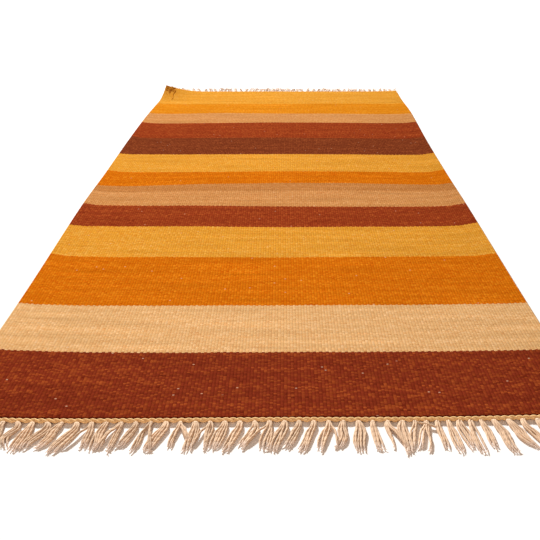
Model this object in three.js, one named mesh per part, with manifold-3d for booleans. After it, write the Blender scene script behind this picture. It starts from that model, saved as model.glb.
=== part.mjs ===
// A flat-woven wool rug lying on the floor: a weft-faced field with uneven selvedges and lifted far corners,
// a twined cotton cord along each short end, and beyond each cord a fringe of warp ends gathered in tassels.
// Millimetres. +X runs across the rug, +Y along it to the far end, +Z up, with the origin under its middle.
import * as THREE from "three";
import { mergeVertices } from "three/addons/utils/BufferGeometryUtils.js";
import Module from "manifold-3d";

// Driving dimensions
const RUG_WIDTH = 700;
const FIELD_LENGTH = 1390;
const FIELD_THICKNESS = 4;
const CORD_WIDTH = 5.4;
const CORD_HEIGHT = 4.6;
const FRINGE_LENGTH = 42;
const SHORTEST_TASSEL = 36;
const WARP_RIBS = 180;
const GAP = 0.3;

// The strip that joins the tassels of one fringe where they leave the cord
const SPINE_WIDTH = 3;
const SPINE_HEIGHT = 3.4;

// How finely the pieces are divided: an end strip has as many columns as the field, so its gap is even
const COLUMNS = 16;
const FIELD_ROWS = 30;
const CORD_SIDES = 8;
const SPINE_SIDES = 4;
const TASSEL_SIDES = 6;
const MERGE_DISTANCE = 1e-3;

// The two short ends, as directions along Y
const FRONT = -1;
const BACK = 1;

// How far each selvedge strays outwards from half the rug's width, at shares of its length from the middle
const SELVEDGES = [
  { along: -0.5, left: 0, right: 2 },
  { along: -0.33, left: -2, right: 1 },
  { along: -0.1, left: 2, right: 2 },
  { along: 0.01, left: -1, right: 1 },
  { along: 0.17, left: -3, right: 2 },
  { along: 0.3, left: -7, right: 6 },
  { along: 0.36, left: -11, right: 7 },
  { along: 0.42, left: -16, right: 4 },
  { along: 0.46, left: -18, right: 3 },
  { along: 0.5, left: -20, right: 2 },
];

// How far each end line strays along Y, at shares of the rug's width from the middle
const END_LINES = [
  { across: -0.5, front: 2, back: 1 },
  { across: -0.33, front: -2, back: 0 },
  { across: 0, front: 0, back: 0 },
  { across: 0.27, front: 1, back: 0 },
  { across: 0.5, front: 6, back: 2 },
];

// Corners that curl up off the floor, with side 0 on the left and 1 on the right
const LIFTED_CORNERS = [
  { side: 0, end: BACK, height: 18, reach: 115 },
  { side: 1, end: BACK, height: 2, reach: 90 },
];

// Warp ribs gathered into each tassel, in runs from left to right
const TASSEL_RUNS = [
  { tassels: 32, ribs: 4 },
  { tassels: 7, ribs: 3 },
  { tassels: 7, ribs: 4 },
  { tassels: 1, ribs: 3 },
];

// Sideways reach of the tassel tips at the near end, at shares of the rug's width from the middle
const TASSEL_LEANS = [
  { across: -0.5, lean: -3 },
  { across: -0.35, lean: -5 },
  { across: -0.3, lean: -15 },
  { across: -0.267, lean: -4 },
  { across: -0.164, lean: -11 },
  { across: -0.1, lean: 0 },
  { across: -0.04, lean: -10 },
  { across: 0.003, lean: -6 },
  { across: 0.054, lean: -12 },
  { across: 0.121, lean: -4 },
  { across: 0.179, lean: 4 },
  { across: 0.229, lean: -6 },
  { across: 0.279, lean: 6 },
  { across: 0.307, lean: 1 },
  { across: 0.35, lean: 15 },
  { across: 0.5, lean: 3 },
];

// Sections of one tassel from the spine to its tips, with along as a share of its length
const TASSEL_SECTIONS = [
  { along: 0, width: 5, bottom: 0.5, top: 4.2 },
  { along: 0.15, width: 6.4, bottom: 0, top: 5 },
  { along: 0.5, width: 7.4, bottom: 0, top: 3.8 },
  { along: 1, width: 9, bottom: 0, top: 2.4 },
];

// A smooth curve through one column of a table
function valueAt(rows, key, column, where) {
  let i = 0;
  while (i < rows.length - 2 && where > rows[i + 1][key]) i += 1;
  const before = rows[Math.max(i - 1, 0)];
  const from = rows[i];
  const to = rows[i + 1];
  const after = rows[Math.min(i + 2, rows.length - 1)];
  const step = to[key] - from[key];
  const t = THREE.MathUtils.clamp((where - from[key]) / step, 0, 1);
  const slopeFrom = (step * (to[column] - before[column])) / (to[key] - before[key]);
  const slopeTo = (step * (after[column] - from[column])) / (after[key] - from[key]);
  const rise = to[column] - from[column];
  const bend = (slopeFrom + slopeTo - 2 * rise) * t ** 3 + (3 * rise - 2 * slopeFrom - slopeTo) * t ** 2;
  return from[column] + slopeFrom * t + bend;
}

// The place across the rug at a share of its width, 0 on the left selvedge and 1 on the right one
function acrossAt(share, y) {
  const left = RUG_WIDTH / 2 + valueAt(SELVEDGES, "along", "left", y / FIELD_LENGTH);
  const right = RUG_WIDTH / 2 + valueAt(SELVEDGES, "along", "right", y / FIELD_LENGTH);
  return THREE.MathUtils.lerp(-left, right, share);
}

// How far the rug stands off the floor
function liftAt(x, y) {
  let lift = 0;
  for (const { side, end, height, reach } of LIFTED_CORNERS) {
    const cornerY = (end * FIELD_LENGTH) / 2;
    const away = Math.hypot(x - acrossAt(side, cornerY), y - cornerY) / reach;
    lift += height * Math.max(0, 1 - away) ** 2;
  }
  return lift;
}

// Where the field ends, seen from above
function endLineAt(x, end) {
  const column = end === FRONT ? "front" : "back";
  return (end * FIELD_LENGTH) / 2 + valueAt(END_LINES, "across", column, x / RUG_WIDTH);
}

// Moves every point of a closed geometry and joins its shared vertices
function reshape(geometry, move) {
  const points = geometry.getAttribute("position");
  const point = new THREE.Vector3();
  for (let i = 0; i < points.count; i += 1) {
    move(point.fromBufferAttribute(points, i));
    points.setXYZ(i, point.x, point.y, point.z);
  }
  geometry.deleteAttribute("normal");
  geometry.deleteAttribute("uv");
  const closed = mergeVertices(geometry, MERGE_DISTANCE);
  closed.computeVertexNormals();
  return closed;
}

// A rod along X, 1 long, 1 wide and 1 high, with a flat on its top and one on its underside
function unitRod(sides, steps) {
  const rod = new THREE.CylinderGeometry(1, 1, 1, sides, steps, false, Math.PI / sides);
  rod.rotateZ(-Math.PI / 2);
  rod.computeBoundingBox();
  const size = rod.boundingBox.getSize(new THREE.Vector3());
  return rod.scale(1 / size.x, 1 / size.y, 1 / size.z);
}

function fieldGeometry() {
  const sheet = new THREE.BoxGeometry(1, 1, 1, COLUMNS, FIELD_ROWS, 1);
  return reshape(sheet, (point) => {
    const share = point.y + 0.5;
    const x = acrossAt(point.x + 0.5, point.y * FIELD_LENGTH);
    const y = THREE.MathUtils.lerp(endLineAt(x, FRONT), endLineAt(x, BACK), share);
    point.set(x, y, liftAt(x, y) + (point.z + 0.5) * FIELD_THICKNESS);
  });
}

// A strip along one end of the rug, whose inner side is a clearance away from the field
function endStripGeometry(end, clearance, width, height, sides) {
  return reshape(unitRod(sides, COLUMNS), (point) => {
    const x = acrossAt(point.x + 0.5, (end * FIELD_LENGTH) / 2);
    const line = endLineAt(x, end);
    const y = line + end * (clearance + width / 2) + point.y * width;
    point.set(x, y, liftAt(x, line) + (point.z + 0.5) * height);
  });
}

// The far fringe leans as the near one does when the rug is turned round
function leanAt(x, end) {
  return -end * valueAt(TASSEL_LEANS, "across", "lean", (-end * x) / RUG_WIDTH);
}

// One tassel of a fringe, from the spine out to its tips on the floor
function tasselGeometry(end, rootX, length) {
  const line = endLineAt(rootX, end);
  const rootY = line + end * (3 * GAP + CORD_WIDTH);
  const rootLift = liftAt(rootX, line);
  const steps = TASSEL_SECTIONS.length - 1;
  return reshape(unitRod(TASSEL_SIDES, steps), (point) => {
    const section = TASSEL_SECTIONS[Math.round((point.x + 0.5) * steps)];
    const x = rootX + leanAt(rootX, end) * section.along - end * point.y * section.width;
    const y = rootY + end * section.along * length;
    const height = THREE.MathUtils.lerp(section.bottom, section.top, point.z + 0.5);
    point.set(x, y, rootLift * (1 - section.along) ** 2 + height);
  });
}

// Roots and lengths of all tassels along one end
function tasselRow(end) {
  const row = [];
  let ribsBefore = 0;
  for (const run of TASSEL_RUNS) {
    for (let i = 0; i < run.tassels; i += 1) {
      const share = (ribsBefore + run.ribs / 2) / WARP_RIBS;
      const unevenness = 0.5 + 0.5 * Math.sin(ribsBefore * end);
      row.push({
        rootX: acrossAt(share, (end * FIELD_LENGTH) / 2),
        length: THREE.MathUtils.lerp(SHORTEST_TASSEL, FRINGE_LENGTH, unevenness),
      });
      ribsBefore += run.ribs;
    }
  }
  return row;
}

const wasm = await Module();
wasm.setup();

function solidOf(geometry) {
  return new wasm.Manifold(
    new wasm.Mesh({
      numProp: 3,
      vertProperties: new Float32Array(geometry.getAttribute("position").array),
      triVerts: new Uint32Array(geometry.index.array),
    }),
  );
}

// One comb: the spine along the cord with every tassel joined to it
function fringeGeometry(end) {
  const clearance = 2 * GAP + CORD_WIDTH;
  let comb = solidOf(endStripGeometry(end, clearance, SPINE_WIDTH, SPINE_HEIGHT, SPINE_SIDES));
  for (const { rootX, length } of tasselRow(end)) {
    comb = comb.add(solidOf(tasselGeometry(end, rootX, length)));
  }
  const joined = comb.getMesh();
  const geometry = new THREE.BufferGeometry();
  geometry.setAttribute("position", new THREE.BufferAttribute(joined.vertProperties, 3));
  geometry.setIndex(new THREE.BufferAttribute(joined.triVerts, 1));
  geometry.computeVertexNormals();
  return geometry;
}

function cordGeometry(end) {
  return endStripGeometry(end, GAP, CORD_WIDTH, CORD_HEIGHT, CORD_SIDES);
}

function named(name, geometry, material) {
  const mesh = new THREE.Mesh(geometry, material);
  mesh.name = name;
  return mesh;
}

const wool = new THREE.MeshStandardMaterial({ color: 0xc27a35, roughness: 0.95, metalness: 0 });
const twine = new THREE.MeshStandardMaterial({ color: 0xdcb98c, roughness: 0.9, metalness: 0 });
const warp = new THREE.MeshStandardMaterial({ color: 0xe3c9ae, roughness: 0.9, metalness: 0 });

const rug = new THREE.Group();
rug.add(named("woven_field", fieldGeometry(), wool));
rug.add(named("end_cord_front", cordGeometry(FRONT), twine));
rug.add(named("end_cord_back", cordGeometry(BACK), twine));
rug.add(named("fringe_front", fringeGeometry(FRONT), warp));
rug.add(named("fringe_back", fringeGeometry(BACK), warp));

export default rug;
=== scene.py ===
# The looks of a flat-woven wool rug: a ribbed weft-faced field in cross stripes, a twined cotton cord along
# each short end, a fringe of warp ends in tassels, and a tuft of loose yarn at one curled corner.
# Metres. +X runs across the rug, +Y along it to the far end, +Z up.
import math

import bpy
import numpy as np
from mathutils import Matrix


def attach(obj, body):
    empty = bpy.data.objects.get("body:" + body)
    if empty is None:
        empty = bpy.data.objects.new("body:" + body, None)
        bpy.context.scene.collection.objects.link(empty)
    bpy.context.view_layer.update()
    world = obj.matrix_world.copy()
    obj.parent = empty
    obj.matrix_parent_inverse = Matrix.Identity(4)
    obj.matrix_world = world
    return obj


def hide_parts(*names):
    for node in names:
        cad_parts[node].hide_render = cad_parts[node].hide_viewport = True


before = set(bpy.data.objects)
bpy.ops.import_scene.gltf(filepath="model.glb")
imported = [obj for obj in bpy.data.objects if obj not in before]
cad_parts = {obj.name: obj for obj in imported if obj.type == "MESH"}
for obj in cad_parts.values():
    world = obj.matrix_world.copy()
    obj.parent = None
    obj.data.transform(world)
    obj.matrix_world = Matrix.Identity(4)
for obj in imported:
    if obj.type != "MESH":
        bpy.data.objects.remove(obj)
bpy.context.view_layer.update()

MM = 0.001

# Driving dimensions, as in the solid model
RUG_WIDTH = 700 * MM
FIELD_LENGTH = 1390 * MM
FIELD_THICKNESS = 4 * MM
CORD_WIDTH = 5.4 * MM
FRINGE_LENGTH = 42 * MM
SHORTEST_TASSEL = 36 * MM
WARP_RIBS = 180
GAP = 0.3 * MM

# The weave: each rib shows a row of weft beads, and the beads of neighbouring ribs sit half a bead apart
RIB_PITCH = RUG_WIDTH / WARP_RIBS
BEAD_LENGTH = 2.4 * MM
CREST_HALF = FIELD_THICKNESS / 2
VALLEY_HALF = 1.85 * MM
EDGE_HALF = 0.4 * MM

# Yarns of the twined end cords and of the fringe, and the loose fibres at the tips of its strands
TWINE_RADIUS = 1.5 * MM
TWINE_TURN = 4 * RIB_PITCH
STRAND_RADIUS = 1.2 * MM
STRANDS_PER_RIB = 1.5
FIBRE_RADIUS = 0.6 * MM
FIBRES_PER_STRAND = 4
FRAY_LENGTH = 3 * MM

# How much longer the tassels get from one selvedge to the other, and how high strands arch at the far end
LENGTH_DRIFT = 8 * MM
FAR_ARCH = 7 * MM

# How finely the pieces are divided
RIB_STEPS = 4
FIELD_ROWS = 64
TWINE_STEPS = 1080
TWINE_SIDES = 10
STRAND_STEPS = 16
STRAND_SIDES = 7
FIBRE_STEPS = 4
FIBRE_SIDES = 4
TUFT_STEPS = 12
TUFT_SIDES = 5
TRAIL_STEPS = 24
TRAIL_SIDES = 6

# The two short ends, as directions along Y
FRONT = -1
BACK = 1

# How far each selvedge strays outwards from half the width, in mm, at shares of the length from the middle
SELVEDGES = {
    "along": (-0.5, -0.33, -0.1, 0.01, 0.17, 0.3, 0.36, 0.42, 0.46, 0.5),
    "left": (0, -2, 2, -1, -3, -7, -11, -16, -18, -20),
    "right": (2, 1, 2, 1, 2, 6, 7, 4, 3, 2),
}

# How far each end line strays along Y, in mm, at shares of the width from the middle
END_LINES = {
    "across": (-0.5, -0.33, 0, 0.27, 0.5),
    "front": (2, -2, 0, 1, 6),
    "back": (1, 0, 0, 0, 2),
}

# Corners that curl up off the floor, with side 0 on the left and 1 on the right
LIFTED_CORNERS = (
    {"side": 0, "end": BACK, "height": 18 * MM, "reach": 115 * MM},
    {"side": 1, "end": BACK, "height": 2 * MM, "reach": 90 * MM},
)

# Warp ribs gathered into each tassel, in runs from left to right: tassels, ribs
TASSEL_RUNS = ((32, 4), (7, 3), (7, 4), (1, 3))

# Sideways reach of the tassel tips at the near end, in mm, at shares of the width from the middle
TASSEL_LEANS = {
    "across": (-0.5, -0.35, -0.3, -0.267, -0.164, -0.1, -0.04, 0.003,
               0.054, 0.121, 0.179, 0.229, 0.279, 0.307, 0.35, 0.5),
    "lean": (-3, -5, -15, -4, -11, 0, -10, -6,
             -12, -4, 4, -6, 6, 1, 15, 3),
}

# Strands that leave their tassel at the near end: tassel, strands, sideways reach and outward reach in mm
STRAYS = (
    (10, 1, -14, 35),
    (12, 3, -16, 35),
    (14, 3, 3, 38),
    (16, 3, 11, 26),
    (18, 1, -11, 33),
    (22, 1, -20, 34),
    (26, 1, 5, 35),
    (30, 3, 15, 38),
    (32, 1, 21, 10),
    (33, 2, -11, 36),
)

# Dyes of the weft, and the lighter flecks that are spun into each
DYES = {
    "deep_rust": {"yarn": (0.21, 0.028, 0.0095), "fleck": (0.35, 0.071, 0.015)},
    "cream": {"yarn": (0.66, 0.38, 0.16), "fleck": (0.74, 0.46, 0.23)},
    "orange": {"yarn": (0.56, 0.14, 0.0036), "fleck": (0.66, 0.21, 0.0096)},
    "gold": {"yarn": (0.64, 0.28, 0.028), "fleck": (0.69, 0.35, 0.066)},
    "rust": {"yarn": (0.27, 0.039, 0.01), "fleck": (0.39, 0.083, 0.018)},
    "tan": {"yarn": (0.54, 0.24, 0.074), "fleck": (0.62, 0.31, 0.12)},
    "dark_tan": {"yarn": (0.47, 0.19, 0.051), "fleck": (0.54, 0.24, 0.083)},
    "brown": {"yarn": (0.18, 0.035, 0.011), "fleck": (0.3, 0.073, 0.021)},
    "amber": {"yarn": (0.61, 0.21, 0.0083), "fleck": (0.68, 0.28, 0.026)},
}

# Colours of the undyed yarns, of the loose wool at one corner, and of the lint caught in the weave
TWINE = (0.83, 0.51, 0.235, 1.0)
WARP = (0.70, 0.475, 0.315, 1.0)
# The fringe's tip colour, which along the far fringe's strands is also painted light
WARP_TIP = (0.88, 0.70, 0.58, 1.0)
LOOSE_WOOL = (0.62, 0.22, 0.02, 1.0)
LOOSE_WOOL_TIP = (0.80, 0.40, 0.05, 1.0)
LINT = (0.72, 0.48, 0.32, 1.0)

# Cross stripes from the near end: dye, where the stripe starts as a share of the length, and how far its
# starting line bows to the far end, in mm, at the stations across the width that BOW_STATIONS names.
# The darker band along the far edge of the near tan stripe has a row of its own.
BOW_STATIONS = (-0.5, -0.455, -0.41, -0.2, 0, 0.2, 0.41, 0.455, 0.5)
STRIPES = (
    ("deep_rust", 0.0, (0, 0, 0, 0, 0, 0, 0, 0, 0)),
    ("cream", 0.0814, (7, 2, 2, -1, -1, -1, -1, -1, 1)),
    ("orange", 0.1580, (3, 0, -1, -1, -2, -1, -2, -2, 0)),
    ("gold", 0.2580, (9, 1, -1, -1, -4, -2, -2, -2, 5)),
    ("rust", 0.3366, (6, 0, 0, 1, -4, -2, -3, -1, 10)),
    ("tan", 0.3974, (13, 3, 2, 2, -3, -5, -6, -4, 8)),
    ("dark_tan", 0.4500, (3, -5, -6, 0, 0, 0, -8, -8, 2)),
    ("orange", 0.4756, (-8, -14, -15, -2, 3, 4, -8, -9, -2)),
    ("gold", 0.5242, (9, -2, -4, -3, 0, -1, -8, -8, 8)),
    ("brown", 0.6006, (5, -1, -1, -1, 0, -1, -7, -7, 5)),
    ("rust", 0.6844, (13, -1, -4, 0, 0, -4, -10, -9, 2)),
    ("tan", 0.7720, (6, -6, -9, -3, 1, -1, -7, -6, 4)),
    ("amber", 0.8316, (6, -1, -2, 6, 0, -1, -7, -7, -1)),
    ("gold", 0.9006, (7, -1, -3, -1, -1, 4, 0, 0, 4)),
)

# Names of the UV maps: places in the weave, places along a strand, and room for a painted copy
WEAVE_MAP = "weave"
STRAND_MAP = "strand"
PAINT_MAP = "OFBake"


def curve_through(table, key, column, where):
    """A smooth curve through one column of a table."""
    keys = np.array(table[key], float)
    values = np.array(table[column], float)
    last = len(keys) - 1
    before = np.maximum(np.arange(last + 1) - 1, 0)
    after = np.minimum(np.arange(last + 1) + 1, last)
    slopes = (values[after] - values[before]) / (keys[after] - keys[before])
    i = np.clip(np.searchsorted(keys, where) - 1, 0, last - 1)
    step = keys[i + 1] - keys[i]
    t = np.clip((where - keys[i]) / step, 0, 1)
    rise = values[i + 1] - values[i]
    leaving = slopes[i] * step
    arriving = slopes[i + 1] * step
    bend = (leaving + arriving - 2 * rise) * t**3 + (3 * rise - 2 * leaving - arriving) * t**2
    return values[i] + leaving * t + bend


def between(start, stop, share):
    return start + (stop - start) * share


def smooth_step(start, stop, where):
    t = np.clip((where - start) / (stop - start), 0, 1)
    return t * t * (3 - 2 * t)


def across_at(share, y):
    """The place across the rug at a share of its width, 0 on the left selvedge and 1 on the right one."""
    left = RUG_WIDTH / 2 + MM * curve_through(SELVEDGES, "along", "left", y / FIELD_LENGTH)
    right = RUG_WIDTH / 2 + MM * curve_through(SELVEDGES, "along", "right", y / FIELD_LENGTH)
    return between(-left, right, share)


def lift_at(x, y):
    """How far the rug stands off the floor."""
    lift = 0 * x
    for corner in LIFTED_CORNERS:
        corner_y = corner["end"] * FIELD_LENGTH / 2
        corner_x = across_at(corner["side"], corner_y)
        away = np.hypot(x - corner_x, y - corner_y) / corner["reach"]
        lift = lift + corner["height"] * np.maximum(0, 1 - away) ** 2
    return lift


def end_line_at(x, end):
    """Where the field ends, seen from above."""
    column = "front" if end == FRONT else "back"
    return end * FIELD_LENGTH / 2 + MM * curve_through(END_LINES, "across", column, x / RUG_WIDTH)


def mesh_piece(name, points, face_sets, maps, material, attributes=None):
    """One mesh from arrays: points, sets of faces with the same number of corners, smooth walls and flat caps
    by turns, a UV for each corner in each map, and a number for each point in each attribute."""
    mesh = bpy.data.meshes.new(name)
    corners = np.concatenate([faces.ravel() for faces in face_sets])
    sizes = np.concatenate([np.full(len(faces), faces.shape[1]) for faces in face_sets])
    starts = np.concatenate([[0], np.cumsum(sizes)[:-1]])
    mesh.vertices.add(len(points))
    mesh.vertices.foreach_set("co", points.astype(np.float32).ravel())
    mesh.loops.add(len(corners))
    mesh.loops.foreach_set("vertex_index", corners.astype(np.int32))
    mesh.polygons.add(len(sizes))
    mesh.polygons.foreach_set("loop_start", starts.astype(np.int32))
    smooth = np.concatenate([np.full(len(faces), turn % 2 == 0) for turn, faces in enumerate(face_sets)])
    mesh.polygons.foreach_set("use_smooth", smooth)
    for map_name, places in maps.items():
        layer = mesh.uv_layers.new(name=map_name)
        layer.data.foreach_set("uv", places.astype(np.float32).ravel())
    for attribute, values in (attributes or {}).items():
        layer = mesh.attributes.new(attribute, "FLOAT", "POINT")
        layer.data.foreach_set("value", values.astype(np.float32).ravel())
    mesh.update(calc_edges=True)
    mesh.validate()
    mesh.materials.append(material)
    piece = bpy.data.objects.new(name, mesh)
    bpy.context.scene.collection.objects.link(piece)
    return piece


class Shader:
    """A material made of nodes round one principled surface."""

    def __init__(self, name):
        self.material = bpy.data.materials.new(name)
        self.material.use_nodes = True
        self.tree = self.material.node_tree
        self.surface = self.tree.nodes["Principled BSDF"]

    def node(self, kind, **settings):
        made = self.tree.nodes.new(kind)
        for setting, value in settings.items():
            setattr(made, setting, value)
        return made

    def feed(self, socket, value):
        """Links a node's output to a socket, or sets the socket to a plain value."""
        if isinstance(value, bpy.types.NodeSocket):
            self.tree.links.new(value, socket)
        else:
            socket.default_value = value

    def finish(self, colour, sheen):
        """Sets a matt surface: its colour, and how much its fibres catch the light."""
        self.feed(self.surface.inputs["Base Color"], colour)
        self.feed(self.surface.inputs["Roughness"], 0.95)
        self.feed(self.surface.inputs["Specular IOR Level"], 0.0)
        self.feed(self.surface.inputs["Sheen Weight"], sheen)
        self.feed(self.surface.inputs["Sheen Roughness"], 0.5)
        self.feed(self.surface.inputs["Sheen Tint"], colour)
        return self.material

    def math(self, operation, *values):
        made = self.node("ShaderNodeMath", operation=operation)
        for socket, value in zip(made.inputs, values):
            self.feed(socket, value)
        return made.outputs[0]

    def vector(self, x, y):
        made = self.node("ShaderNodeCombineXYZ")
        self.feed(made.inputs[0], x)
        self.feed(made.inputs[1], y)
        return made.outputs[0]

    def map_place(self, map_name):
        """The two coordinates of a UV map."""
        place = self.node("ShaderNodeUVMap", uv_map=map_name)
        parts = self.node("ShaderNodeSeparateXYZ")
        self.feed(parts.inputs[0], place.outputs[0])
        return parts.outputs[0], parts.outputs[1]

    def attribute(self, name):
        return self.node("ShaderNodeAttribute", attribute_name=name).outputs["Fac"]

    def noise(self, x, x_rate, y, y_rate):
        """Smooth noise about 0.5, with so many features to each unit of x and of y."""
        made = self.node("ShaderNodeTexNoise", noise_dimensions="2D")
        place = self.vector(self.math("MULTIPLY", x, x_rate), self.math("MULTIPLY", y, y_rate))
        self.feed(made.inputs["Vector"], place)
        self.feed(made.inputs["Scale"], 1.0)
        return made.outputs["Fac"]

    def dice(self, x, y):
        """Three even random numbers for each whole-numbered place."""
        made = self.node("ShaderNodeTexWhiteNoise", noise_dimensions="2D")
        self.feed(made.inputs["Vector"], self.vector(x, y))
        parts = self.node("ShaderNodeSeparateColor")
        self.feed(parts.inputs[0], made.outputs["Color"])
        return parts.outputs[0], parts.outputs[1], parts.outputs[2]

    def fit(self, value, low, high, to_low, to_high):
        """Moves a range of values to another one, and holds it there."""
        made = self.node("ShaderNodeMapRange", clamp=True)
        for socket, number in zip(made.inputs, (value, low, high, to_low, to_high)):
            self.feed(socket, number)
        return made.outputs[0]

    def mix(self, share, first, second, blend="MIX"):
        made = self.node("ShaderNodeMix", data_type="RGBA", blend_type=blend)
        self.feed(made.inputs[0], share)
        self.feed(made.inputs[6], first)
        self.feed(made.inputs[7], second)
        return made.outputs[2]

    def shade(self, colour, amount):
        """A colour times a number."""
        made = self.node("ShaderNodeVectorMath", operation="SCALE")
        self.feed(made.inputs[0], colour)
        self.feed(made.inputs["Scale"], amount)
        return made.outputs[0]

    def gain(self, colour, rate, base):
        """A level that rises with the colour: the base, and the rate times the colour."""
        made = self.node("ShaderNodeVectorMath", operation="MULTIPLY_ADD")
        self.feed(made.inputs[0], colour)
        self.feed(made.inputs[1], (rate, rate, rate))
        self.feed(made.inputs[2], (base, base, base))
        return made.outputs[0]

    def steps(self, value, stops):
        """A colour that changes at once at each stop, given as (place, colour)."""
        colour = (*stops[0][1], 1.0)
        for place, next_colour in stops[1:]:
            reached = self.math("GREATER_THAN", value, place)
            colour = self.mix(reached, colour, (*next_colour, 1.0))
        return colour

    def bump(self, height, depth):
        """Shows a height of 0 to 1 as a relief of that depth."""
        made = self.node("ShaderNodeBump")
        self.feed(made.inputs["Height"], height)
        self.feed(made.inputs["Distance"], depth)
        self.feed(self.surface.inputs["Normal"], made.outputs[0])


def bead_dome(shader, in_rib, in_row):
    """The rounded height of a bead of weft, from 0 at its rim to 1 on its crest."""
    from_crest = shader.math("ABSOLUTE", shader.math("SUBTRACT", in_rib, 0.5))
    from_middle = shader.math("ABSOLUTE", shader.math("SUBTRACT", in_row, 0.5))
    rib_dome = shader.fit(from_crest, 0.5, 0.15, 0.0, 1.0)
    row_dome = shader.fit(from_middle, 0.5, 0.1, 0.0, 1.0)
    return shader.math("POWER", shader.math("MULTIPLY", rib_dome, row_dome), 0.5)


def wool_material():
    """Weft-faced wool: beads of weft over each warp rib, in stripes that meet in teeth."""
    shader = Shader("striped_wool")

    # The rib and row of each bead, the place within it, and the shot of weft that it belongs to
    across, along = shader.map_place(WEAVE_MAP)
    rib = shader.math("FLOOR", across)
    in_rib = shader.math("SUBTRACT", across, rib)
    odd = shader.math("MODULO", rib, 2.0)
    half = shader.math("MULTIPLY", odd, 0.5)
    sway = shader.noise(across, 0.11, along, 40.0)
    place = shader.math("MULTIPLY_ADD", along, 1 / BEAD_LENGTH, half)
    place = shader.math("ADD", place, sway)
    row = shader.math("FLOOR", place)
    in_row = shader.math("SUBTRACT", place, row)
    shot = shader.math("MULTIPLY_ADD", row, 2.0, odd)
    toothed_row = shader.math("SUBTRACT", row, odd)
    share = shader.math("MULTIPLY", toothed_row, BEAD_LENGTH / FIELD_LENGTH)

    # Dyes with lighter flecks in patches, uneven from shot to shot, and painted shade that dims them a little
    # to the right
    yarn = shader.steps(share, [(start, DYES[dye]["yarn"]) for dye, start, _ in STRIPES])
    fleck = shader.steps(share, [(start, DYES[dye]["fleck"]) for dye, start, _ in STRIPES])
    fleck_luck, dark_luck, lint_luck = shader.dice(rib, row)
    cluster = shader.noise(across, 0.35, along, 110.0)
    band = shader.noise(across, 0.02, shot, 0.11)
    patch = shader.math("MULTIPLY_ADD", cluster, 0.4, shader.math("MULTIPLY", band, 0.6))
    fleck_share = shader.fit(shader.math("ADD", fleck_luck, patch), 1.0, 1.6, 0.0, 0.9)
    colour = shader.mix(fleck_share, yarn, fleck)
    colour = shader.shade(colour, shader.fit(band, 0.3, 0.7, 0.95, 1.05))
    streak = shader.noise(across, 0.03, shot, 0.7)
    colour = shader.shade(colour, shader.fit(streak, 0.25, 0.75, 0.9, 1.1))
    # Painted shade: the colour dims by up to 8% across the right half, as if the light fell off that way
    colour = shader.shade(colour, shader.fit(across, 0.5 * WARP_RIBS, WARP_RIBS, 1.0, 0.92))

    # Painted shade in the creases between beads, with darker beads and short dashes at random, all deepest in
    # dark dyes
    dome = bead_dome(shader, in_rib, in_row)
    # Painted shade: darkest where the bead's dome falls to its rim
    depth = shader.fit(dome, 0.0, 0.7, 1.0, 0.0)
    depth = shader.math("ADD", depth, shader.fit(dark_luck, 0.0, 0.4, 0.5, 0.0))
    dash = shader.noise(across, 0.13, shot, 3.1)
    depth = shader.math("ADD", depth, shader.fit(dash, 0.64, 0.74, 0.0, 0.6))
    # The darkening is warmer and deeper in dark dyes: painted shade with the warmth of light bounced among
    # the yarns
    colour = shader.mix(depth, colour, shader.gain(colour, 0.6, 0.48), blend="MULTIPLY")

    # Pale lint on the crests of a few beads
    lint = shader.fit(lint_luck, 0.998, 0.9981, 0.0, 0.6)
    lint = shader.math("MULTIPLY", lint, shader.fit(dome, 0.6, 0.9, 0.0, 1.0))
    colour = shader.mix(lint, colour, LINT)

    fibre = shader.noise(across, 3.0, along, 3500.0)
    shader.bump(shader.math("MULTIPLY_ADD", fibre, 0.25, dome), 0.25 * MM)
    return shader.finish(colour, sheen=0.06)


def yarn_material(name, yarn, tip):
    """Soft twisted yarn, of another colour towards its tips, with a shallow groove between its plies in
    relief and in painted shade.
    """
    ply_turn = 7 * MM
    shader = Shader(name)
    along, around = shader.map_place(STRAND_MAP)
    tint = shader.attribute("tint")
    tipward = shader.attribute("tipward")
    turn = shader.math("MULTIPLY_ADD", along, 1 / ply_turn, shader.math("MULTIPLY", around, 2.0))
    groove = shader.fit(shader.math("PINGPONG", turn, 0.5), 0.0, 0.3, 0.0, 1.0)
    fuzz = shader.noise(along, 300.0, around, 9.0)
    colour = shader.mix(tipward, yarn, tip)
    colour = shader.shade(colour, shader.fit(tint, 0.0, 1.0, 0.88, 1.12))
    # Painted shade along the groove between the plies
    colour = shader.shade(colour, shader.fit(groove, 0.0, 1.0, 0.93, 1.0))
    colour = shader.shade(colour, shader.fit(fuzz, 0.25, 0.75, 0.9, 1.08))
    firmness = shader.math("SUBTRACT", 1.0, tipward)
    relief = shader.math("MULTIPLY_ADD", fuzz, 0.3, groove)
    shader.bump(shader.math("MULTIPLY", relief, firmness), 0.2 * MM)
    return shader.finish(colour, sheen=0.06)


def rib_half_thickness(ribs):
    """Half the field's thickness at places counted in ribs from the left selvedge."""
    crest = np.abs(np.sin(np.pi * ribs)) ** 0.6
    half = between(VALLEY_HALF, CREST_HALF, crest)
    half[[0, -1]] = EDGE_HALF
    return half


def weft_places(x, y):
    """How far along the weave each point lies, following the bowed lines of the weft."""
    starts = np.array([start for _, start, _ in STRIPES] + [1.0])
    bows = np.array([bow for _, _, bow in STRIPES] + [STRIPES[0][2]])
    places = np.empty_like(y)
    for column in range(x.shape[1]):
        share = np.mean(x[:, column]) / RUG_WIDTH
        bow = np.array([np.interp(share, BOW_STATIONS, row) for row in bows])
        lines = between(y[0, column], y[-1, column], starts) + MM * bow
        places[:, column] = FIELD_LENGTH * np.interp(y[:, column], lines, starts)
    return places


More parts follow.
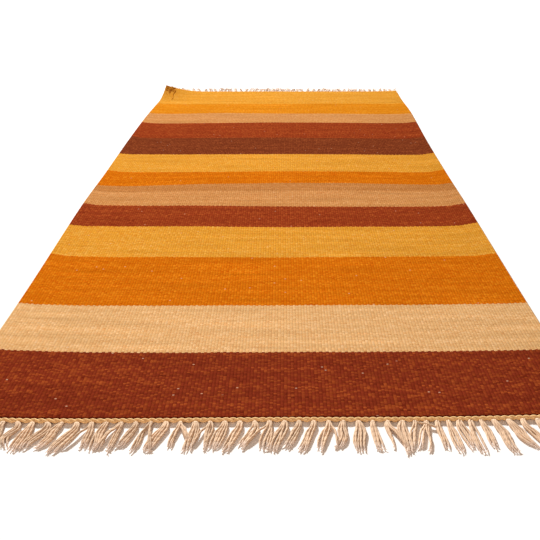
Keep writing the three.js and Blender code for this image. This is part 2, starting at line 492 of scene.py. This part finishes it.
def field_paint(step, side, around, columns):
    """Places on the paint map of the field's walls, and of its end caps along the map's rims."""
    rim = 0.01
    corner_side = np.stack([side, side + 1, side + 1, side], axis=-1) / around
    corner_row = np.stack([step, step, step + 1, step + 1], axis=-1) / FIELD_ROWS
    walls = np.stack([corner_side, between(rim, 1 - rim, corner_row)], axis=-1)
    column = np.arange(columns)
    cap_share = np.stack([column, column, column + 1, column + 1], axis=1) / (columns + 1)
    cap_rim = np.broadcast_to(rim * np.array([0.6, 0.2, 0.2, 0.6]), cap_share.shape)
    front = np.stack([cap_share, cap_rim], axis=-1)
    back = np.stack([cap_share[:, ::-1], 1 - cap_rim[:, ::-1]], axis=-1)
    return np.concatenate([places.reshape(-1, 2) for places in (walls, front, back)])


def field_piece(material):
    """The woven field as one closed mesh: ribs above and below, closed along the selvedges and both ends."""
    ribs = np.arange(WARP_RIBS * RIB_STEPS + 1) / RIB_STEPS
    end_row = 2 * MM / FIELD_LENGTH
    rows = np.concatenate([[0], np.linspace(end_row, 1 - end_row, FIELD_ROWS - 1), [1]])
    share, row = np.meshgrid(ribs / WARP_RIBS, rows)
    x = across_at(share, (row - 0.5) * FIELD_LENGTH)
    y = between(end_line_at(x, FRONT), end_line_at(x, BACK), row)
    middle = lift_at(x, y) + FIELD_THICKNESS / 2
    half = rib_half_thickness(ribs)
    top = np.stack([x, y, middle + half], axis=2)
    under = np.stack([x, y, middle - half], axis=2)
    rings = np.concatenate([top, under[:, ::-1]], axis=1)
    around = rings.shape[1]

    step, side = np.meshgrid(np.arange(FIELD_ROWS), np.arange(around), indexing="ij")
    next_side = (side + 1) % around
    walls = np.stack([(step, side), (step, next_side), (step + 1, next_side), (step + 1, side)], axis=-1)
    wall_faces = (walls[0] * around + walls[1]).reshape(-1, 4)
    column = np.arange(len(ribs) - 1)
    cap = np.stack([column, around - 1 - column, around - 2 - column, column + 1], axis=1)
    caps = np.concatenate([cap, cap[:, ::-1] + FIELD_ROWS * around])
    corners = np.concatenate([wall_faces.ravel(), caps.ravel()])

    weave_across = np.concatenate([ribs, ribs[::-1]])
    weave_along = weft_places(x, y)
    weave_along = np.concatenate([weave_along, weave_along[:, ::-1]], axis=1)
    weave = np.stack([np.broadcast_to(weave_across, weave_along.shape), weave_along], axis=2)
    weave = weave.reshape(-1, 2)[corners]
    maps = {WEAVE_MAP: weave, PAINT_MAP: field_paint(step, side, around, len(column))}
    return mesh_piece("woven_cloth", rings.reshape(-1, 3), [wall_faces, caps], maps, material)


def unit(vectors):
    return vectors / np.maximum(np.linalg.norm(vectors, axis=-1, keepdims=True), 1e-9)


class Yarns:
    """Round yarns of one piece, gathered as arrays and made into one mesh at the end."""

    def __init__(self):
        self.batches = []

    def add(self, paths, radii, sides, tint, tipward):
        """Yarns along paths (yarns, points, 3), with a radius and a share of the tip's colour at each point,
        and a tint for each yarn."""
        yarns, steps, _ = paths.shape
        self.batches.append({
            "paths": paths,
            "radii": np.broadcast_to(radii, (yarns, steps)),
            "sides": sides,
            "tint": np.broadcast_to(np.reshape(tint, (-1, 1)), (yarns, steps)),
            "tipward": np.broadcast_to(tipward, (yarns, steps)),
        })

    def piece(self, name, material):
        """One mesh of all the yarns, each of which has a cell of its own on the paint map."""
        margin = 0.05
        total = sum(len(batch["paths"]) for batch in self.batches)
        columns = math.ceil(math.sqrt(total / 4))
        rows = math.ceil(total / columns)
        points, face_sets, strand_places, paint_places, tints, tips = [], [], [], [], [], []
        first_point = 0
        first_yarn = 0
        for batch in self.batches:
            yarns, steps, _ = batch["paths"].shape
            sides = batch["sides"]
            quads, caps = tube_faces(yarns, steps, sides)
            face_sets += [first_point + quads, first_point + caps]
            strands, cells = tube_places(batch["paths"], sides)
            cell = first_yarn + np.arange(yarns)[:, None]
            corner = np.stack([cell % columns, cell // columns], axis=-1)
            paint = (corner + between(margin, 1 - margin, cells)) / (columns, rows)
            cap_place = (corner[:, 0] + 2 * margin) / (columns, rows)
            cap_paint = np.repeat(np.tile(cap_place, (2, 1)), sides, axis=0)
            strand_places += [strands.reshape(-1, 2), np.zeros((2 * yarns * sides, 2))]
            paint_places += [paint.reshape(-1, 2), cap_paint]
            points.append(tube_rings(batch["paths"], batch["radii"], sides).reshape(-1, 3))
            tints.append(np.repeat(batch["tint"].ravel(), sides))
            tips.append(np.repeat(batch["tipward"].ravel(), sides))
            first_point += yarns * steps * sides
            first_yarn += yarns
        maps = {STRAND_MAP: np.concatenate(strand_places), PAINT_MAP: np.concatenate(paint_places)}
        attributes = {"tint": np.concatenate(tints), "tipward": np.concatenate(tips)}
        return mesh_piece(name, np.concatenate(points), face_sets, maps, material, attributes)


def tube_rings(paths, radii, sides):
    """Rings of points square to each path."""
    forward = unit(np.gradient(paths, axis=1))
    sideways = unit(np.cross(forward, (0.0, 0.0, 1.0)))
    upward = np.cross(sideways, forward)
    angle = 2 * np.pi * np.arange(sides)[:, None] / sides
    spokes = np.cos(angle) * sideways[:, :, None] + np.sin(angle) * upward[:, :, None]
    return paths[:, :, None] + radii[:, :, None, None] * spokes


def tube_faces(yarns, steps, sides):
    """The walls and the end caps of tubes whose rings follow one another."""
    yarn, step, side = np.meshgrid(np.arange(yarns), np.arange(steps - 1), np.arange(sides), indexing="ij")
    ring = (yarn * steps + step) * sides
    next_side = (side + 1) % sides
    quads = np.stack([ring + side, ring + sides + side, ring + sides + next_side, ring + next_side], axis=-1)
    head = np.arange(yarns)[:, None] * steps * sides + np.arange(sides)
    caps = np.concatenate([head, head[:, ::-1] + (steps - 1) * sides])
    return quads.reshape(-1, 4), caps


def tube_places(paths, sides):
    """For each wall corner of each tube: metres along and share around it, and shares of a square cell."""
    yarns, steps, _ = paths.shape
    lengths = np.linalg.norm(np.diff(paths, axis=1), axis=2)
    along = np.concatenate([np.zeros((yarns, 1)), np.cumsum(lengths, axis=1)], axis=1)
    step, side = np.meshgrid(np.arange(steps - 1), np.arange(sides), indexing="ij")
    corner_step = np.stack([step, step + 1, step + 1, step], axis=-1).ravel()
    corner_side = np.stack([side, side, side + 1, side + 1], axis=-1).ravel() / sides
    around = np.broadcast_to(corner_side, (yarns, len(corner_side)))
    share = np.broadcast_to(corner_step / (steps - 1), around.shape)
    return np.stack([along[:, corner_step], around], axis=-1), np.stack([share, around], axis=-1)


def cord_piece(name, end, material):
    """Twining along one end: two thick strands that wind round each other over the warps."""
    axis_out = 2.6 * MM
    axis_height = 2.3 * MM
    swing_out = 1.2 * MM
    swing_up = 0.5 * MM
    yarns = Yarns()
    share = np.linspace(0, 1, TWINE_STEPS + 1)
    x = across_at(share, end * FIELD_LENGTH / 2)
    line = end_line_at(x, end)
    for strand in range(2):
        turn = 2 * np.pi * (share * RUG_WIDTH / TWINE_TURN + strand / 2)
        y = line + end * (axis_out - swing_out * np.cos(turn))
        z = lift_at(x, line) + axis_height + swing_up * np.cos(turn - np.pi / 4)
        tint = 0.45 + 0.2 * strand
        yarns.add(np.stack([x, y, z], axis=1)[None], TWINE_RADIUS, TWINE_SIDES, tint, 0.0)
    return yarns.piece(name, material)


def tassel_row(end):
    """The tassels along one end: how many ribs each gathers, its root across the rug, its length and lean."""
    row = []
    ribs_before = 0
    for tassels, ribs in TASSEL_RUNS:
        for _ in range(tassels):
            root = float(across_at((ribs_before + ribs / 2) / WARP_RIBS, end * FIELD_LENGTH / 2))
            unevenness = 0.5 + 0.5 * math.sin(ribs_before * end)
            lean = -end * MM * float(curve_through(TASSEL_LEANS, "across", "lean", -end * root / RUG_WIDTH))
            length = between(SHORTEST_TASSEL, FRINGE_LENGTH, unevenness) - FRAY_LENGTH
            length -= LENGTH_DRIFT * end * root / RUG_WIDTH
            row.append({"ribs": ribs, "root": root, "length": length, "lean": lean})
            ribs_before += ribs
    return row


def hump(along, middle, width):
    return np.exp(-(((along - middle) / width) ** 2))


def strand_heights(end, tassel, upper, above, along, dice):
    """Heights of one tassel's strands: out of the cord one over another, and down to the floor. Strays lie
    over the rest, and at the far end strands arch up off the floor again."""
    root_z = 1.2 * MM + 1.0 * MM * upper
    stacked = 1.05 + 0.9 * upper * (1 - 0.9 * along**2)
    floor_z = STRAND_RADIUS * stacked + above * np.sin(np.pi * along) ** 0.5
    arch = 0.5 * MM * hump(along, 0.16, 0.1)
    if end == BACK:
        arch = arch + dice.uniform(0, FAR_ARCH, (len(upper), 1)) * hump(along, 0.5, 0.22)
    root = np.array(tassel["root"])
    lift = float(lift_at(root, end_line_at(root, end))) * (1 - along) ** 2
    return lift + between(root_z, floor_z, smooth_step(0.12, 0.5, along)) + arch


def tassel_paths(end, tassel, strays, dice):
    """Paths of one tassel's strands: out of the cord in a round bundle, and spread flat on the floor."""
    tassel_scatter = 1.6 * MM
    strand_scatter = 1.2 * MM
    length_scatter = 1.5 * MM
    stray_height = 1.5 * MM
    root_half_width = 1.7 * MM
    tip_half_width = 3.2 * MM
    inside = 0.8 * MM
    count = round(STRANDS_PER_RIB * tassel["ribs"])
    angle = 2 * np.pi * (np.arange(count) + 0.5) / count + dice.uniform(0, 1)
    place = np.argsort(np.argsort(np.cos(angle))) / (count - 1) * 2 - 1
    upper = 0.5 + 0.5 * np.sin(angle)[:, None]
    lean = tassel["lean"] + dice.normal(0, tassel_scatter) + dice.normal(0, strand_scatter, count)
    reach = tassel["length"] + dice.normal(0, length_scatter, count)
    above = np.zeros((count, 1))
    for strands, sideways, outwards in strays:
        chosen = np.argsort(place * np.sign(tassel["lean"] - sideways * MM))[:strands]
        lean[chosen] = sideways * MM + dice.normal(0, strand_scatter, strands)
        reach[chosen] = outwards * MM
        above[chosen] = stray_height

    along = np.linspace(0, 1, STRAND_STEPS + 1)[None]
    half_width = between(root_half_width, tip_half_width, smooth_step(0, 0.5, along)) * dice.uniform(0.8, 1.2)
    belly = dice.uniform(-0.6, 1.6) * MM * np.sin(np.pi * along)
    hook = -0.12 * lean[:, None] * np.sin(np.pi * np.minimum(along / 0.4, 1))
    bend = dice.normal(0, 1.0 * MM) * np.sin(np.pi * along * dice.uniform(1.2, 2.2))
    wave = dice.normal(0, 0.7 * MM, (count, 1)) * np.sin(np.pi * along * dice.uniform(0.8, 2.2, (count, 1)))
    spread = place[:, None] * (half_width + belly)
    x = tassel["root"] + spread + lean[:, None] * along**1.3 + hook + bend + wave
    line = end_line_at(np.array(tassel["root"]), end)
    y = line + end * (GAP + CORD_WIDTH - inside + along * (reach[:, None] + inside))
    z = strand_heights(end, tassel, upper, above, along, dice)
    return np.stack([x, y, z], axis=2)


def fray_paths(paths, dice):
    """Loose fibres that leave the ends of strands."""
    tips = np.repeat(paths[:, -1], FIBRES_PER_STRAND, axis=0)
    forward = np.repeat(unit(paths[:, -1] - paths[:, -3]), FIBRES_PER_STRAND, axis=0)
    spread = dice.normal(0, 0.4, forward.shape) * (1, 0.4, 0.2)
    reach = dice.uniform(0.3, 1.0, (len(tips), 1, 1)) * FRAY_LENGTH
    along = np.linspace(-0.3, 1, FIBRE_STEPS + 1)[None, :, None]
    outwards = along * forward[:, None]
    sideways = np.maximum(along, 0) ** 1.5 * spread[:, None]
    fibres = tips[:, None] + reach * (outwards + sideways)
    fibres[:, :, 2] = np.maximum(fibres[:, :, 2], FIBRE_RADIUS)
    return fibres


def fringe_piece(name, end, seed, material):
    """One fringe: every tassel's strands with their frayed ends. Those at the far end are thinner, and pale
    almost from their roots, which is painted light for strands lit from behind."""
    dice = np.random.default_rng(seed)
    yarns = Yarns()
    along = np.linspace(0, 1, STRAND_STEPS + 1)
    fullness = 1.0 if end == FRONT else 0.6
    # Near fringe: only the frayed tips are paler. Far fringe: painted light, the tip colour from near the
    # roots
    pale_tip_and_painted_light_from = 0.8 if end == FRONT else 0.1
    thickness = fullness * STRAND_RADIUS * (1 - 0.6 * smooth_step(0.86, 1, along))
    tipward = smooth_step(pale_tip_and_painted_light_from, pale_tip_and_painted_light_from + 0.2, along)
    fibre_thickness = FIBRE_RADIUS * np.linspace(1, 0.5, FIBRE_STEPS + 1)
    for index, tassel in enumerate(tassel_row(end)):
        strays = [stray[1:] for stray in STRAYS if end == FRONT and stray[0] == index]
        paths = tassel_paths(end, tassel, strays, dice)
        tint = np.clip(dice.uniform(0.3, 0.8) + dice.normal(0, 0.15, len(paths)), 0, 1)
        fibre_tint = np.repeat(tint, FIBRES_PER_STRAND)
        yarns.add(paths, thickness, STRAND_SIDES, tint, tipward)
        yarns.add(fray_paths(paths, dice), fibre_thickness, FIBRE_SIDES, fibre_tint, 1.0)
    return yarns.piece(name, material)


def on_rug(x, y, height):
    """Points at a height above the field's surface."""
    return np.stack([x, y, lift_at(x, y) + FIELD_THICKNESS + height], axis=-1)


def tuft_piece(material):
    """A tangle of loose weft ends on the curled corner, with one thread that trails from it."""
    count = 26
    radius = 0.5 * MM
    trail_radius = 0.9 * MM
    trail_length = 78 * MM
    dice = np.random.default_rng(21)
    yarns = Yarns()
    middle_y = FIELD_LENGTH / 2 - 12 * MM
    middle_x = float(across_at(0.0, middle_y)) + 16 * MM
    along = np.linspace(0, 1, TUFT_STEPS + 1)[None]
    heading = dice.uniform(0, 2 * np.pi, (count, 1))
    curl = dice.normal(0, 1.6, (count, 1))
    reach = dice.uniform(10, 30, (count, 1)) * MM
    direction = heading + curl * along
    x = middle_x + dice.normal(0, 6 * MM, (count, 1)) + reach * (along - 0.5) * np.cos(direction)
    y = middle_y + dice.normal(0, 9 * MM, (count, 1)) + reach * (along - 0.5) * np.sin(direction)
    x = np.maximum(x, across_at(0.0, y) + 2 * radius)
    y = np.minimum(y, FIELD_LENGTH / 2 + 4 * MM)
    height = radius + dice.uniform(0, 1.5 * MM, (count, 1)) * np.sin(np.pi * along)
    tint = dice.uniform(0, 1, count)
    tipward = dice.uniform(0, 1, (count, 1))
    yarns.add(on_rug(x, y, height), radius, TUFT_SIDES, tint, tipward)

    trail = np.linspace(0, 1, TRAIL_STEPS + 1)
    trail_x = middle_x + 14 * MM + 1.5 * MM * np.sin(9 * trail)
    trail_y = middle_y - trail_length * trail
    yarns.add(on_rug(trail_x, trail_y, radius)[None], trail_radius, TRAIL_SIDES, 0.2, 0.0)
    return yarns.piece("corner_yarn", material)


def soft_lamp(name, size, distance, azimuth, elevation, strength, colour):
    """A round lamp that faces the rug's middle, where it lights the floor with that strength. Its azimuth is
    counted in degrees from the far end to the left."""
    lamp = bpy.data.lights.new(name, "AREA")
    lamp.shape = "DISK"
    lamp.size = size
    lamp.color = colour
    rise = math.radians(elevation)
    turn = math.radians(azimuth)
    lamp.energy = strength * (math.pi * distance) ** 2 / math.sin(rise)
    light = bpy.data.objects.new(name, lamp)
    ground = distance * math.cos(rise)
    light.location = (-ground * math.sin(turn), ground * math.cos(turn), distance * math.sin(rise))
    light.rotation_euler = (math.radians(90) - rise, 0, turn + math.radians(180))
    bpy.context.scene.collection.objects.link(light)


def studio():
    """A plain pale floor, soft warm light all round, a lamp behind the rug and a weak one in front of it."""
    floor_size = 60
    bpy.ops.mesh.primitive_plane_add(size=floor_size)
    floor = bpy.context.object
    floor.name = "floor"
    floor.data.materials.append(Shader("pale_floor").finish((0.93, 0.88, 0.84, 1.0), sheen=0.0))

    world = bpy.data.worlds.new("soft_light")
    world.use_nodes = True
    background = world.node_tree.nodes["Background"]
    background.inputs["Color"].default_value = (1.0, 0.76, 0.6, 1.0)
    background.inputs["Strength"].default_value = 0.36
    bpy.context.scene.world = world
    soft_lamp("lamp", size=0.9, distance=11.0, azimuth=20, elevation=25,
              strength=1.13, colour=(0.84, 0.94, 1.0))
    soft_lamp("fill_lamp", size=1.5, distance=4.0, azimuth=172, elevation=12,
              strength=0.06, colour=(1.0, 0.9, 0.8))
    bpy.context.scene.view_settings.view_transform = "Standard"


def photo_camera():
    """A low eye just before the near end, looking down along the rug."""
    lens = bpy.data.cameras.new("camera")
    lens.sensor_width = 36
    lens.lens = 42.4
    lens.shift_x = -0.0241
    camera = bpy.data.objects.new("camera", lens)
    camera.location = (0.0156, -1.206, 0.472)
    camera.rotation_euler = (math.radians(60.5), 0, 0)
    bpy.context.scene.collection.objects.link(camera)
    bpy.context.scene.camera = camera


def dress(piece, node):
    """Ties a piece to the frame in place of the solid that it stands for."""
    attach(piece, "root")
    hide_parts(node)
    return piece


wool = wool_material()
twine = yarn_material("twined_cotton", TWINE, TWINE)
warp = yarn_material("warp_cotton", WARP, WARP_TIP)
loose_wool = yarn_material("loose_wool", LOOSE_WOOL, LOOSE_WOOL_TIP)

cloth = dress(field_piece(wool), "woven_field")
trimmings = [
    dress(cord_piece("twined_cord_front", FRONT, twine), "end_cord_front"),
    dress(cord_piece("twined_cord_back", BACK, twine), "end_cord_back"),
    dress(fringe_piece("tassels_front", FRONT, 3, warp), "fringe_front"),
    dress(fringe_piece("tassels_back", BACK, 8, warp), "fringe_back"),
]
corner_yarn = tuft_piece(loose_wool)
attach(corner_yarn, "root")
trimmings.append(corner_yarn)

studio()
photo_camera()
